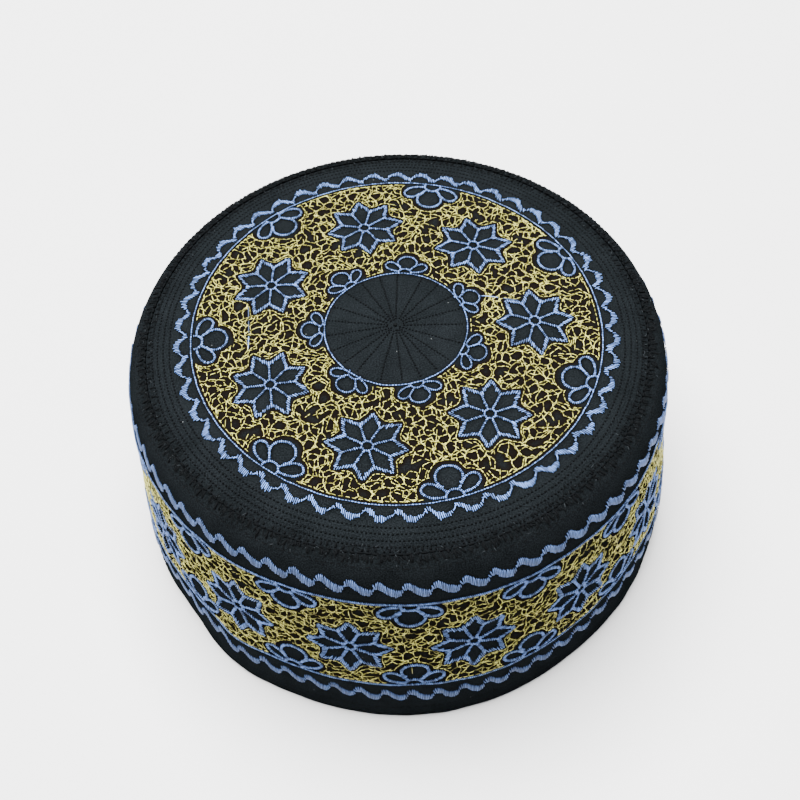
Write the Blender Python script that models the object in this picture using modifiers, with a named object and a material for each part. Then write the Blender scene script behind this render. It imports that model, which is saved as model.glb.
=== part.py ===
"""A round cloth prayer cap: a flat quilted crown sewn to an upright side band.

Metres, +Z up. The origin is at the middle of the rim that the cap stands on, and the front faces -Y.
"""
import math

import bmesh
import bpy

MM = 0.001

# Driving sizes, in millimetres
CAP_HEIGHT = 94.0          # rim to the middle of the crown
CLOTH_THICKNESS = 2.0      # quilted layers of cloth
SEAM_RADIUS = 81.6         # where the crown's edge meets the band's turned-in edge
SEAM_GAP = 0.3             # clear space left along that seam
EDGE_ROUNDING = 0.5        # roundness of the cut and folded edges
STEPS_ROUND = 96           # sides of the turned shapes
SHARP_ANGLE = 50.0         # edges bent more than this, in degrees, are cut or folded edges

# The crown's upper face: distance from the middle, drop below the middle
CROWN_FACE = (
    (0.0, 0.0),
    (23.0, 0.4),
    (45.0, 1.0),
    (67.0, 2.0),
    (76.0, 3.1),
    (SEAM_RADIUS, 4.7),
)

# The band's outer face, from its turned-in edge down to the rim: radius, height above the rim
BAND_FACE = (
    (SEAM_RADIUS + SEAM_GAP, 89.6),
    (83.4, 89.5),
    (84.9, 88.6),
    (86.4, 86.9),
    (87.8, 84.0),
    (88.9, 79.6),
    (89.7, 73.7),
    (90.5, 62.0),
    (91.4, 49.4),
    (92.7, 37.0),
    (93.7, 25.0),
    (94.2, 12.0),
    (94.3, 0.0),
)

# Soft swells of the band, and hollows where the amount is negative: the azimuth and how far round
# the swell reaches, in degrees, the height and how far up and down it reaches, and how far the cloth
# moves outwards. Each has a twin on the opposite side, which keeps the cap centred on its origin.
HALF_TURN = 180.0
BAND_SWELLS = (
    (-164.0, 9.0, 6.0, 22.0, 0.5),
    (-147.0, 7.0, 0.0, 26.0, -1.2),
    (-130.0, 8.0, 2.0, 24.0, 1.0),
    (-92.0, 14.0, 0.0, 30.0, 0.4),
    (-54.0, 15.0, 6.0, 30.0, -1.0),
    (-14.0, 13.0, 18.0, 22.0, 0.9),
)

# The stiff seam holds the band to a true circle down to here, and lets it go below: distance, reach
SEAM_HOLD = (8.0, 20.0)

# Slow waves of the crown, which sewn cloth always has: how many lie round it, the azimuth of a crest
# in degrees, and its height
CROWN_WAVES = (
    (2, 20.0, 0.35),
    (5, 75.0, 0.25),
)

CLOTH_COLOUR = (0.021, 0.027, 0.031, 1.0)
CLOTH_ROUGHNESS = 0.85


def clear_scene():
    for old in list(bpy.data.objects):
        bpy.data.objects.remove(old, do_unlink=True)


def new_collection(name):
    group = bpy.data.collections.new(name)
    bpy.context.scene.collection.children.link(group)
    return group


def cloth_material(name):
    material = bpy.data.materials.new(name)
    material.use_nodes = True
    shader = material.node_tree.nodes["Principled BSDF"]
    shader.inputs["Base Color"].default_value = CLOTH_COLOUR
    shader.inputs["Roughness"].default_value = CLOTH_ROUGHNESS
    shader.inputs["Metallic"].default_value = 0.0
    return material


def section_mesh(name, section, closed):
    """A wire in the XZ plane through a section's points, given as radius and height."""
    shape = bmesh.new()
    points = [shape.verts.new((radius * MM, 0.0, height * MM)) for radius, height in section]
    ends = points[1:] + points[:1] if closed else points[1:]
    for first, second in zip(points, ends):
        shape.edges.new((first, second))
    mesh = bpy.data.meshes.new(name)
    shape.to_mesh(mesh)
    shape.free()
    return mesh


def add_turned(name, section, closed, group):
    """Turn a section once round the upright axis, and round its cut and folded edges."""
    piece = bpy.data.objects.new(name, section_mesh(name, section, closed))
    group.objects.link(piece)
    piece.data.materials.append(cloth_material(name + "_cloth"))
    turn = piece.modifiers.new("turn", "SCREW")
    turn.angle = math.tau
    turn.steps = STEPS_ROUND
    turn.render_steps = STEPS_ROUND
    turn.use_merge_vertices = True
    turn.merge_threshold = 0.00001
    edges = piece.modifiers.new("rounded_edges", "BEVEL")
    edges.width = EDGE_ROUNDING * MM
    edges.segments = 2
    edges.limit_method = "ANGLE"
    edges.angle_limit = math.radians(SHARP_ANGLE)
    return piece


def make_soft(piece, shift):
    """Keep the piece's finished mesh, with each point moved by shift(azimuth, radius, height)."""
    depsgraph = bpy.context.evaluated_depsgraph_get()
    mesh = bpy.data.meshes.new_from_object(piece.evaluated_get(depsgraph))
    for point in mesh.vertices:
        radius = math.hypot(point.co.x, point.co.y) / MM
        azimuth = math.degrees(math.atan2(point.co.y, point.co.x))
        outwards, upwards = shift(azimuth, radius, point.co.z / MM)
        if radius > 0.0:
            point.co.x *= 1.0 + outwards / radius
            point.co.y *= 1.0 + outwards / radius
        point.co.z += upwards * MM
    section = piece.data
    piece.modifiers.clear()
    piece.data = mesh
    bpy.data.meshes.remove(section)
    mesh.name = piece.name
    mesh.shade_smooth()
    mesh.set_sharp_from_angle(angle=math.radians(SHARP_ANGLE))


def crown_shift(azimuth, radius, height):
    """The crown's waves rise and sink, and fade out at the stiff seam and at the middle."""
    lift = sum(
        crest * math.cos(math.radians(count * (azimuth - start)))
        for count, start, crest in CROWN_WAVES
    )
    fade = math.sin(math.pi * min(1.0, radius / SEAM_RADIUS)) ** 2
    return 0.0, lift * fade


def band_shift(azimuth, radius, height):
    """The band's swells move the cloth outwards or inwards, less and less towards the seam."""
    outwards = 0.0
    for centre, width, level, reach, amount in BAND_SWELLS:
        aside = (azimuth - centre + HALF_TURN / 2.0) % HALF_TURN - HALF_TURN / 2.0
        outwards += amount * math.exp(-(aside / width) ** 2 - ((height - level) / reach) ** 2)
    below_seam = (CAP_HEIGHT - SEAM_HOLD[0] - height) / SEAM_HOLD[1]
    return outwards * min(1.0, max(0.0, below_seam)), 0.0


def add_crown(group):
    """A slightly domed disc of even thickness, closed by its upright edge."""
    upper = [(radius, CAP_HEIGHT - drop) for radius, drop in CROWN_FACE]
    lower = [(radius, height - CLOTH_THICKNESS) for radius, height in reversed(upper)]
    crown = add_turned("crown", upper + lower, False, group)
    make_soft(crown, crown_shift)


def band_inner_face():
    """The outer face moved inwards by the cloth's thickness, with square ends at seam and rim."""
    inner = [(BAND_FACE[0][0], BAND_FACE[0][1] - CLOTH_THICKNESS)]
    for above, here, below in zip(BAND_FACE, BAND_FACE[1:], BAND_FACE[2:]):
        run = below[0] - above[0]
        rise = below[1] - above[1]
        step = CLOTH_THICKNESS / math.hypot(run, rise)
        inner.append((here[0] + rise * step, here[1] - run * step))
    inner.append((BAND_FACE[-1][0] - CLOTH_THICKNESS, BAND_FACE[-1][1]))
    return inner


def add_side_band(group):
    """An upright wall, turned in at the top to meet the crown and open below for the head."""
    section = list(BAND_FACE) + list(reversed(band_inner_face()))
    band = add_turned("side_band", section, True, group)
    make_soft(band, band_shift)


def main():
    clear_scene()
    cap = new_collection("prayer_cap")
    add_crown(cap)
    add_side_band(cap)


main()
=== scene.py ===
"""Looks of a round embroidered prayer cap: quilted cloth, satin stitches, netting, light and camera.

Sizes are in millimetres until a mesh is written. Two flat charts hold the embroidery. The crown's
chart is the view from above, x to the right and y away from the front. The band's chart is its outer
face laid flat: x runs round the cap from the front, and y is the length up its profile from the rim.
"""
import math

import bpy
import numpy as np
from mathutils import Matrix, Vector


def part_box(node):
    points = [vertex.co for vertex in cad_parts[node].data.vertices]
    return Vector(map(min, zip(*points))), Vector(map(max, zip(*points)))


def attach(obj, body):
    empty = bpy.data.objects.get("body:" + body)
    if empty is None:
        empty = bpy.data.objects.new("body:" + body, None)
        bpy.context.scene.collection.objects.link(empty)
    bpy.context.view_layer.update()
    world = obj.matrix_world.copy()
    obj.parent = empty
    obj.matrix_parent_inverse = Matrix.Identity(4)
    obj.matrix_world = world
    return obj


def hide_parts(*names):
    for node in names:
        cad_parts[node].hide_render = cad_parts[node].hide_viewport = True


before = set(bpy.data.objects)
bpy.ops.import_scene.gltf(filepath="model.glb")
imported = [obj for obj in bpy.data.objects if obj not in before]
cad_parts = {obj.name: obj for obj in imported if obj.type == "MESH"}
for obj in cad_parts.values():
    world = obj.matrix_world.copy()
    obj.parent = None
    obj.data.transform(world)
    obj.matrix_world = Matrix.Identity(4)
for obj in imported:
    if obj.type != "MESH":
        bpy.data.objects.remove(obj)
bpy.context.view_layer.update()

MM = 0.001
TURN = math.tau

# The cap's sizes, as its solids have them
CAP_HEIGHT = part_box("crown")[1][2] / MM
CLOTH_THICKNESS = 2.0
SEAM_RADIUS = 81.6
SEAM_GAP = 0.3
CROWN_FACE = (
    (0.0, 0.0),
    (23.0, 0.4),
    (45.0, 1.0),
    (67.0, 2.0),
    (76.0, 3.1),
    (SEAM_RADIUS, 4.7),
)
BAND_FACE = (
    (SEAM_RADIUS + SEAM_GAP, 89.6),
    (83.4, 89.5),
    (84.9, 88.6),
    (86.4, 86.9),
    (87.8, 84.0),
    (88.9, 79.6),
    (89.7, 73.7),
    (90.5, 62.0),
    (91.4, 49.4),
    (92.7, 37.0),
    (93.7, 25.0),
    (94.2, 12.0),
    (94.3, 0.0),
)

# Each swell of the band: azimuth and reach round the band, in degrees, height and reach up and down, and
# how far out the cloth moves. At the seam it is held to a true circle: for how far, and how softly.
BAND_SWELLS = (
    (-164.0, 9.0, 6.0, 22.0, 0.5),
    (-147.0, 7.0, 0.0, 26.0, -1.2),
    (-130.0, 8.0, 2.0, 24.0, 1.0),
    (-92.0, 14.0, 0.0, 30.0, 0.4),
    (-54.0, 15.0, 6.0, 30.0, -1.0),
    (-14.0, 13.0, 18.0, 22.0, 0.9),
)
SEAM_HOLD = (8.0, 20.0)

# Each wave of the crown: how many crests lie round it, the azimuth of one in degrees, and its height
CROWN_WAVES = (
    (2, 20.0, 0.35),
    (5, 75.0, 0.25),
)

# The chart of the band is drawn for this radius, and its middle lies at the front
BAND_RADIUS = 91.5
BAND_LENGTH = TURN * BAND_RADIUS
FRONT = math.radians(-90.0)

# Camera, as fitted to the photo: pixels of the 800 x 800 frame
FRAME_PIXELS = 800
SENSOR = 36.0
FOCAL_PIXELS = 1278.2
CAMERA_DISTANCE = 414.9
CAMERA_ELEVATION = 50.72
CAMERA_ROLL = -3.26
APEX_PIXEL = (395.3, 325.2)

# Colours, linear
CLOTH = (0.0025, 0.0031, 0.0034)
CLOTH_WORN = (0.0124, 0.0152, 0.0173)
BLUE = (0.045, 0.068, 0.140)
BLUE_PALE = (0.250, 0.440, 1.000)
GOLD = (0.105, 0.088, 0.006)
GOLD_PALE = (1.000, 0.960, 0.230)
BLACK = (0.0012, 0.0015, 0.0018)
BLACK_PALE = (0.0330, 0.0385, 0.0425)
LINT = (0.15, 0.16, 0.16)
# A painted warm shadow in the cloth between the threads of the gold nets
NET_SHADOW = (0.0050, 0.0035, 0.0026)

# Threads: how thick the satin stitches and the netting are, how high the backs of the satin lie, and how
# far its stitches stray from their direction, in degrees
SATIN_THREAD = 0.40
SATIN_LIFT = 0.30
SATIN_STRAY = 6.0
NET_THREAD = 0.215

rng = np.random.default_rng(49)


def line_lengths(points):
    """Length along a polyline, at each of its points."""
    steps = np.linalg.norm(np.diff(points, axis=0), axis=1)
    return np.concatenate([[0.0], np.cumsum(steps)])


def linear_steps(points, step):
    """A polyline resampled at even steps, with its ends kept."""
    points = np.asarray(points, float)
    along = line_lengths(points)
    count = max(1, int(round(along[-1] / step)))
    wanted = np.linspace(0.0, along[-1], count + 1)
    return np.stack([np.interp(wanted, along, points[:, k]) for k in range(points.shape[1])], 1)


def smooth_line(points, closed=False, step=0.4):
    """A smooth curve through a few points, as an even polyline."""
    points = np.asarray(points, float)
    if closed:
        ring = np.concatenate([points[-1:], points, points[:2]])
    else:
        ring = np.concatenate([2 * points[:1] - points[1:2], points, 2 * points[-1:] - points[-2:-1]])
    t = np.linspace(0.0, 1.0, 12, endpoint=False)[:, None]
    spans = []
    for a, b, c, d in zip(ring, ring[1:], ring[2:], ring[3:]):
        square = 2 * a - 5 * b + 4 * c - d
        cube = 3 * b - a - 3 * c + d
        spans.append(0.5 * (2 * b + (c - a) * t + square * t ** 2 + cube * t ** 3))
    spans.append(points[:1] if closed else points[-1:])
    return linear_steps(np.concatenate(spans), step)


def polar(radius, turn):
    """Chart points at a distance from the middle, by their turn in radians."""
    return np.stack([radius * np.cos(turn), radius * np.sin(turn)], -1)


def unit(vectors):
    return vectors / np.maximum(np.linalg.norm(vectors, axis=-1, keepdims=True), 1e-9)


# The band's outer profile from the seam to the rim, with the length along it. Its whole length is also
# the chart's y at the seam.
band_profile = smooth_line(BAND_FACE, step=0.25)
band_along = line_lengths(band_profile)
BAND_TOP = band_along[-1]


def profile_at(along):
    """Radius and height of the band's outer face, by the length along its profile."""
    return np.stack([np.interp(along, band_along, band_profile[:, k]) for k in (0, 1)])


def crown_drop(radius):
    return np.interp(radius, [r for r, _ in CROWN_FACE], [drop for _, drop in CROWN_FACE])


def crown_waves(x, y):
    radius = np.hypot(x, y)
    azimuth = np.degrees(np.arctan2(y, x))
    lift = sum(crest * np.cos(np.radians(count * (azimuth - start))) for count, start, crest in CROWN_WAVES)
    return lift * np.sin(np.pi * np.minimum(1.0, radius / SEAM_RADIUS)) ** 2


def band_swell(azimuth, height):
    outwards = np.zeros_like(azimuth)
    for centre, width, level, reach, amount in BAND_SWELLS:
        aside = (np.degrees(azimuth) - centre + 90.0) % 180.0 - 90.0
        outwards = outwards + amount * np.exp(-(aside / width) ** 2 - ((height - level) / reach) ** 2)
    return outwards * np.clip((CAP_HEIGHT - SEAM_HOLD[0] - height) / SEAM_HOLD[1], 0.0, 1.0)


class Relief:
    """How far the stitches press the cloth down, over a flat chart, with soft puckers between them."""

    CELL = 0.3

    def __init__(self, low, high, wraps):
        self.low = np.array(low, float)
        self.shape = tuple(int((b - a) / self.CELL) + 1 for a, b in zip(low, high))
        self.wraps = wraps
        self.map = np.zeros(self.shape)

    def cells(self, points):
        at = (points - self.low) / self.CELL
        if self.wraps:
            at[:, 0] %= self.shape[0] - 1
        return np.clip(at, 0, np.array(self.shape) - 1.001)

    def press(self, starts, ends, amount):
        for share in np.linspace(0.1, 0.9, 5):
            at = np.round(self.cells(starts + (ends - starts) * share)).astype(int)
            np.add.at(self.map, (at[:, 0], at[:, 1]), amount)

    def settle(self, reach):
        """Spread each stitch's pull over the cloth round it."""
        width = int(3 * reach / self.CELL)
        bell = np.exp(-0.5 * (np.arange(-width, width + 1) * self.CELL / reach) ** 2)
        bell /= bell.sum()
        spread = np.minimum(self.map, 1.0)
        for axis in (0, 1):
            pads = [(0, 0), (0, 0)]
            pads[axis] = (width, width)
            padded = np.pad(spread, pads, mode="wrap" if self.wraps and axis == 0 else "edge")
            spread = sum(
                weight * np.take(padded, np.arange(k, k + self.shape[axis]), axis=axis)
                for k, weight in enumerate(bell)
            )
        self.map = spread

    def at(self, points):
        at = self.cells(np.asarray(points, float).copy())
        low = at.astype(int)
        part = at - low
        ix, iy = low[:, 0], low[:, 1]
        fx, fy = part[:, 0], part[:, 1]
        m = self.map
        return (
            m[ix, iy] * (1 - fx) * (1 - fy) + m[ix + 1, iy] * fx * (1 - fy)
            + m[ix, iy + 1] * (1 - fx) * fy + m[ix + 1, iy + 1] * fx * fy
        )


WAVES = 14


def ripples(points, wavelength, period, seed):
    """Soft uneven waves, mostly between -1 and 1; they close up round a chart of that length."""
    waves = np.random.default_rng(seed)
    total = np.zeros(len(points))
    for _ in range(WAVES):
        turn = waves.uniform(0.0, TURN)
        pitch = wavelength * waves.uniform(0.7, 1.6)
        across = math.cos(turn) / pitch
        if period:
            across = round(across * period) / period
        phase = waves.uniform(0.0, TURN)
        total += np.sin(TURN * (across * points[:, 0] + math.sin(turn) / pitch * points[:, 1]) + phase)
    return total / WAVES ** 0.5 / 1.6


class Cloth:
    """What both cloths share: a flat chart, how the stitches press it, its ripples, and how dark it is.

    Each cloth gives points() and seam_depth(). RIPPLE holds the height of its ripples, their length, how
    far in from the seam they reach that height, and their seed. SEAM_SHADE says how dark the shade along
    the seam is, how far in from the seam it lies, and how wide it is. STEP_UP is half of the step in y
    over which the normals are measured.
    """

    PRESS = 0.45

    def __init__(self, low, high, period):
        self.period = period
        self.relief = Relief(low, high, period > 0.0)
        # Where the painted warm shadow of the gold nets falls on the cloth
        self.gold_shadow = Relief(low, high, period > 0.0)

    def ripple(self, chart):
        """The cloth's ripples, which fade out towards the seam."""
        crest, wavelength, reach, seed = self.RIPPLE
        fade = np.clip(self.seam_depth(chart) / reach, 0.0, 1.0)
        return crest * fade * ripples(chart, wavelength, self.period, seed)

    def shade(self, chart):
        """How dark the cloth is: painted shade round its stitches, and rough patches along the seam."""
        amount, middle, reach = self.SEAM_SHADE
        rough = 1.0 + ripples(chart, 1.7, self.period, 31)
        bell = np.exp(-((self.seam_depth(chart) - middle) / reach) ** 2)
        return self.relief.at(chart) + amount * bell * rough

    def normals(self, chart):
        side = self.points(chart + (0.5, 0.0)) - self.points(chart - (0.5, 0.0))
        up = self.points(chart + (0.0, self.STEP_UP)) - self.points(chart - (0.0, self.STEP_UP))
        return unit(np.cross(side, up))


class Crown(Cloth):
    RIPPLE = (0.10, 11.0, 6.0, 5)
    SEAM_SHADE = (0.03, 0.8, 1.4)
    STEP_UP = 0.5

    def __init__(self):
        super().__init__((-84.0, -84.0), (84.0, 84.0), 0.0)

    def seam_depth(self, chart):
        return SEAM_RADIUS - np.hypot(chart[:, 0], chart[:, 1])

    def points(self, chart, lift=0.0):
        x, y = chart[:, 0], chart[:, 1]
        height = CAP_HEIGHT - crown_drop(np.hypot(x, y)) + crown_waves(x, y) + self.ripple(chart)
        height = height - self.PRESS * self.relief.at(chart) + lift
        return np.stack([x, y, height], 1)


class Band(Cloth):
    RIPPLE = (0.16, 12.0, 14.0, 7)
    RUFFLE = 0.34
    SEAM_SHADE = (0.08, 0.6, 1.6)
    STEP_UP = 0.3

    def __init__(self):
        super().__init__((-BAND_LENGTH / 2, -1.0), (BAND_LENGTH / 2, BAND_TOP + 1.0), BAND_LENGTH)

    def seam_depth(self, chart):
        return BAND_TOP - chart[:, 1]

    def points(self, chart, lift=0.0):
        azimuth = FRONT + chart[:, 0] / BAND_RADIUS
        along = np.clip(BAND_TOP - chart[:, 1], 0.0, BAND_TOP)
        radius, height = profile_at(along)
        tilt_r, tilt_z = profile_at(along + 0.3) - profile_at(along - 0.3)
        size = np.hypot(tilt_r, tilt_z)
        out = lift - self.PRESS * self.relief.at(chart) + self.ripple(chart)
        out = out + self.RUFFLE * self.gathers(chart, along)
        radius = radius + band_swell(azimuth, height) - out * tilt_z / size
        height = height + out * tilt_r / size
        return np.stack([radius * np.cos(azimuth), radius * np.sin(azimuth), height], 1)

    def gathers(self, chart, along):
        """Small uneven pleats where the band is gathered into the seam."""
        reach = np.exp(-((along - 1.6) / 1.7) ** 2)
        return reach * ripples(chart * (1.0, 0.35), 1.9, BAND_LENGTH, 11)


crown_cloth = Crown()
band_cloth = Band()


class Stitches:
    """Straight stitches on one cloth: chart ends, thread width, how high each one lies, and its shade.

    The ends say how much of its tone a stitch keeps at its tips, which are painted darker as shade where it
    dives into the cloth, and at which share of its length it has its full size.
    """

    def __init__(self, cloth, shades, ends):
        self.cloth = cloth
        self.shades = shades
        self.tips, self.swell = ends
        self.rows = []

    def add(self, starts, ends, width, lift, shades=None):
        starts = np.asarray(starts, float).reshape(-1, 2)
        ends = np.asarray(ends, float).reshape(-1, 2)
        count = len(starts)
        shade = rng.uniform(*(shades or self.shades), count)
        rest = np.stack([np.full(count, width), np.full(count, lift), shade], 1)
        self.rows.append(np.concatenate([starts, ends, rest], 1))

    def all(self):
        return np.concatenate(self.rows)

    def press(self, relief, amount):
        rows = self.all()
        relief.press(rows[:, 0:2], rows[:, 2:4], amount)


def satin(stitches, path, width, pitch=0.6, slant=0.0, taper=0.0, ragged=0.1, thread=SATIN_THREAD):
    """Satin stitch along a path: parallel threads across it, side by side.

    The slant turns the threads away from square, in degrees. The taper is the share of the path over
    which the stitches grow from narrow to their full width.
    """
    line = linear_steps(path, pitch)
    ahead = unit(np.gradient(line, axis=0))
    share = np.linspace(0.0, 1.0, len(line))
    half = np.full(len(line), width / 2 / math.cos(math.radians(slant)))
    if taper:
        half *= np.clip(0.3 + 0.7 * share / taper, 0.0, 1.0)
    turn = np.radians(90.0 + slant + rng.normal(0.0, SATIN_STRAY, len(line)))
    across = np.stack([
        ahead[:, 0] * np.cos(turn) - ahead[:, 1] * np.sin(turn),
        ahead[:, 0] * np.sin(turn) + ahead[:, 1] * np.cos(turn),
    ], 1)
    one = half * (1 + rng.normal(0.0, ragged, len(line)))
    two = half * (1 + rng.normal(0.0, ragged, len(line)))
    stitches.add(line - across * one[:, None], line + across * two[:, None], thread, SATIN_LIFT)


def running(stitches, path, length=2.1, gap=0.35, thread=0.34, lift=0.12, jitter=0.06, shades=None):
    """Running stitch along a path, with short gaps where the thread dives under."""
    line = linear_steps(path, length)
    line = line + rng.normal(0.0, jitter, line.shape)
    ahead = line[1:] - line[:-1]
    share = gap / 2 / np.maximum(np.linalg.norm(ahead, axis=1, keepdims=True), gap)
    stitches.add(line[:-1] + ahead * share, line[1:] - ahead * share, thread, lift, shades)


def placed(points, at, turn=0.0, scale=(1.0, 1.0)):
    """Chart points moved to a place, after a scale and a turn in radians."""
    points = np.asarray(points, float) * scale
    c, s = math.cos(turn), math.sin(turn)
    return points @ np.array([[c, s], [-s, c]]) + at


# One half-flower on its line, 20 wide and 13 deep: points of the right side petal, and round parts
PETAL = (
    (3.0, 1.0), (5.3, 1.3), (8.0, 2.5), (9.6, 4.6), (9.2, 6.6),
    (7.4, 7.5), (5.2, 6.6), (3.4, 4.6), (2.2, 3.0),
)
PETAL_RING = (0.0, 8.0, 4.4)
PETAL_HEART = (0.0, 0.2, 2.9)
FLOWER_SIZE = (20.2, 12.9)

# The same half-flower in round parts, for the bare margin round it: x, y and radius, petals first
FLOWER_ROUNDS = (
    (0.0, 8.0, 5.0),
    (6.6, 4.4, 3.3),
    (-6.6, 4.4, 3.3),
    (0.0, 1.0, 4.4),
    (4.4, 2.6, 3.0),
    (-4.4, 2.6, 3.0),
)
PETALS = 3

# One star, 8 tips: reach of the tips and of the corners between them, and of the ring in its middle
STAR_TIP = 12.6
STAR_CORNER = 8.0
STAR_RING = 1.85


def arc(centre_x, centre_y, radius, start, end, step=0.4):
    count = max(4, int(abs(math.radians(end - start)) * radius / step))
    return polar(radius, np.radians(np.linspace(start, end, count))) + (centre_x, centre_y)


def half_flower(stitches, at, turn, size, width, slant=0.0, pitch=0.6):
    """Three petals standing on a line, with a half round heart."""
    scale = (size[0] / FLOWER_SIZE[0], size[1] / FLOWER_SIZE[1])
    x, y, radius = PETAL_RING
    ring = arc(x, y, radius, -48.0, 228.0)
    x, y, radius = PETAL_HEART
    heart = arc(x, y, radius, -4.0, 184.0)
    petal = smooth_line(PETAL)
    wobble = rng.normal(0.0, 0.25, 2)
    for part in (ring + wobble, heart, petal, petal * (-1.0, 1.0)):
        satin(stitches, placed(part, at, turn, scale), width, pitch=pitch, slant=slant, ragged=0.14)


def star(stitches, at, turn, size, width, spoke_width, slant, pitch, thread):
    """An eight-pointed star with a spoke from each inner corner to a small ring."""
    tips = []
    corners = []
    rings = []
    for k in range(8):
        wander = 1 + rng.normal(0.0, 0.015)
        tips.append(polar(STAR_TIP * wander, TURN * k / 8 + rng.normal(0.0, 0.02)))
        corners.append(polar(STAR_CORNER, TURN * (k + 0.5) / 8))
        rings.append(polar(STAR_RING, TURN * (k + 0.5) / 8))
    scale = (size[0] / 2 / STAR_TIP, size[1] / 2 / STAR_TIP)
    for k in range(8):
        for corner, lean in ((corners[k], -slant), (corners[k - 1], slant)):
            side = placed([tips[k], corner], at, turn, scale)
            satin(stitches, side, width, pitch, slant=lean, taper=0.2, ragged=0.26, thread=thread)
        for one, two in ((corners[k], rings[k]), (rings[k - 1], rings[k])):
            spoke = placed([one, two], at, turn, scale)
            satin(stitches, spoke, spoke_width, pitch * 0.8, slant=30.0, ragged=0.2, thread=thread)


# One scallop, from its blunt head to its thin tail: share of the pitch, upper edge and lower edge over
# the border's line
CROWN_SCALLOP = (
    (0.00, 1.5, 1.0),
    (0.05, 2.6, 0.9),
    (0.12, 2.9, 0.8),
    (0.20, 2.6, 0.3),
    (0.30, 1.9, -0.7),
    (0.40, 1.0, -1.8),
    (0.50, 0.5, -2.1),
    (0.60, 0.3, -2.1),
    (0.70, 0.2, -1.9),
    (0.79, 0.3, -1.3),
    (0.88, 0.5, -0.5),
    (0.94, 0.8, 0.4),
    (1.00, 1.3, 0.9),
)
UPPER_SCALLOP = (
    (0.00, 1.6, 1.0),
    (0.05, 3.2, 1.0),
    (0.12, 4.1, 1.1),
    (0.20, 4.4, 1.0),
    (0.28, 4.2, 0.3),
    (0.36, 3.5, -0.5),
    (0.45, 2.7, -1.2),
    (0.55, 2.1, -1.9),
    (0.65, 1.7, -2.3),
    (0.76, 1.3, -2.6),
    (0.84, 1.0, -2.3),
    (0.91, 0.9, -1.6),
    (0.96, 1.0, -0.5),
    (1.00, 1.3, 0.7),
)
LOWER_SCALLOP = (
    (0.00, 2.0, 0.6),
    (0.05, 3.6, 0.5),
    (0.12, 4.2, 0.5),
    (0.20, 4.3, 0.4),
    (0.28, 4.0, -0.1),
    (0.36, 2.9, -1.4),
    (0.45, 1.7, -2.5),
    (0.55, 0.9, -3.3),
    (0.65, 0.4, -3.8),
    (0.76, 0.1, -3.8),
    (0.84, 0.2, -3.3),
    (0.91, 0.4, -2.5),
    (0.96, 0.7, -1.2),
    (1.00, 1.2, 0.3),
)


def scallops(stitches, shape, count, length, place, pitch, thread, ragged, shades):
    """A border of commas. place(along, height) gives chart points from the length round the border."""
    share, upper, lower = np.array(shape).T
    along = np.arange(0.0, length, pitch)
    one = (along / length * count) % 1.0
    keep = one < share[-1]
    fan = np.clip(0.2 - one, 0.0, 0.2)
    lean = rng.normal(0.0, 0.07, len(along))
    top = np.interp(one, share, upper) + rng.normal(0.0, ragged, len(along))
    foot = np.interp(one, share, lower) - rng.normal(0.0, ragged * 1.3, len(along))
    starts = place(along + lean - 0.1 - fan * 2.4, top)
    ends = place(along - lean + 0.1 + fan * 0.8, foot)
    stitches.add(starts[keep], ends[keep], thread, SATIN_LIFT, shades)
    middle = (starts + ends) / 2
    thin = keep[:-1] & keep[1:] & (np.linalg.norm(ends - starts, axis=1)[:-1] < 1.1)
    stitches.add(middle[:-1][thin], middle[1:][thin], thread, SATIN_LIFT / 2, shades)


CROWN_SCALLOPS = 49
SCALLOP_RADIUS = 70.6
SCALLOP_START = -70.7

# The crown's borders were sewn a little out of round, and their repeats drift: azimuth, degrees
OVAL = 0.7
OVAL_AXIS = math.radians(-48.0)
SCALLOP_DRIFT = (
    (-157, -0.7), (-112, -0.3), (-67, 0.2), (-22, 0.1), (22, 0.1), (67, -0.4), (112, -1.6), (157, -2.7),
)


def oval(azimuth):
    """How far out of round a border of the crown lies."""
    return OVAL * np.cos(2.0 * (azimuth - OVAL_AXIS))


def ring(radius, centre=(0.0, 0.0), bent=1.0):
    """A border's line round the crown."""
    azimuth = np.linspace(0.0, TURN, 800)
    return polar(radius + bent * oval(azimuth), azimuth) + centre


def crown_ring(along, height):
    """Chart points from a length round the crown and a distance in towards the middle."""
    place, drift = np.array(SCALLOP_DRIFT).T
    azimuth = SCALLOP_START + np.degrees(along / SCALLOP_RADIUS)
    azimuth = np.radians(azimuth + np.interp(azimuth, place, drift, period=360.0))
    return polar(SCALLOP_RADIUS + oval(azimuth) - height, azimuth)


# At the front, where the photo shows them, the repeats lie a little too wide for a whole number to fit,
# so they crowd a little at the back
BAND_REPEATS = 15
BAND_WARP = 0.024
BAND_START = -0.3


def band_x(turn):
    """Chart x of a place on the band from an even turn round it, in radians from the front."""
    turn = np.asarray(turn, float)
    return BAND_RADIUS * (math.radians(BAND_START) + turn + BAND_WARP * np.sin(turn))


# How much higher than its level each border of the band was sewn: place round the band, and rise. The
# back, past the ends of each list, isn't in the photo and runs level.
UPPER_RISE = smooth_line((
    (-130, 0.0), (-90, -0.3), (-75, 0.1), (-60, 0.1), (-45, 0.9), (-30, 1.0), (-15, 0.6), (0, 0.1),
    (30, -0.2), (60, 0.0), (80, -0.8), (100, -0.4), (130, 0.0),
), step=1.0)
LOWER_RISE = smooth_line((
    (-130, 1.0), (-100, 3.5), (-90, 4.0), (-77, 4.1), (-70, 2.7), (-62, -0.6), (-50, 0.5), (-40, 0.8),
    (-30, 0.4), (0, 0.0), (15, -0.8), (30, -1.0), (45, -0.4), (60, 0.6), (75, 2.3), (90, 3.5), (130, 1.0),
), step=1.0)


def border_y(level, rises, x):
    """Chart y of a border along the band."""
    place, rise = rises.T
    return level + np.interp(x, place, rise, period=BAND_LENGTH)


def band_ring(level, rises, start):
    """The function that gives chart points from a length round the band and a height over a border."""

    def place(along, height):
        x = band_x(along / BAND_RADIUS - math.pi + start)
        return np.stack([x, border_y(level, rises, x) + height], 1)

    return place


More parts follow.
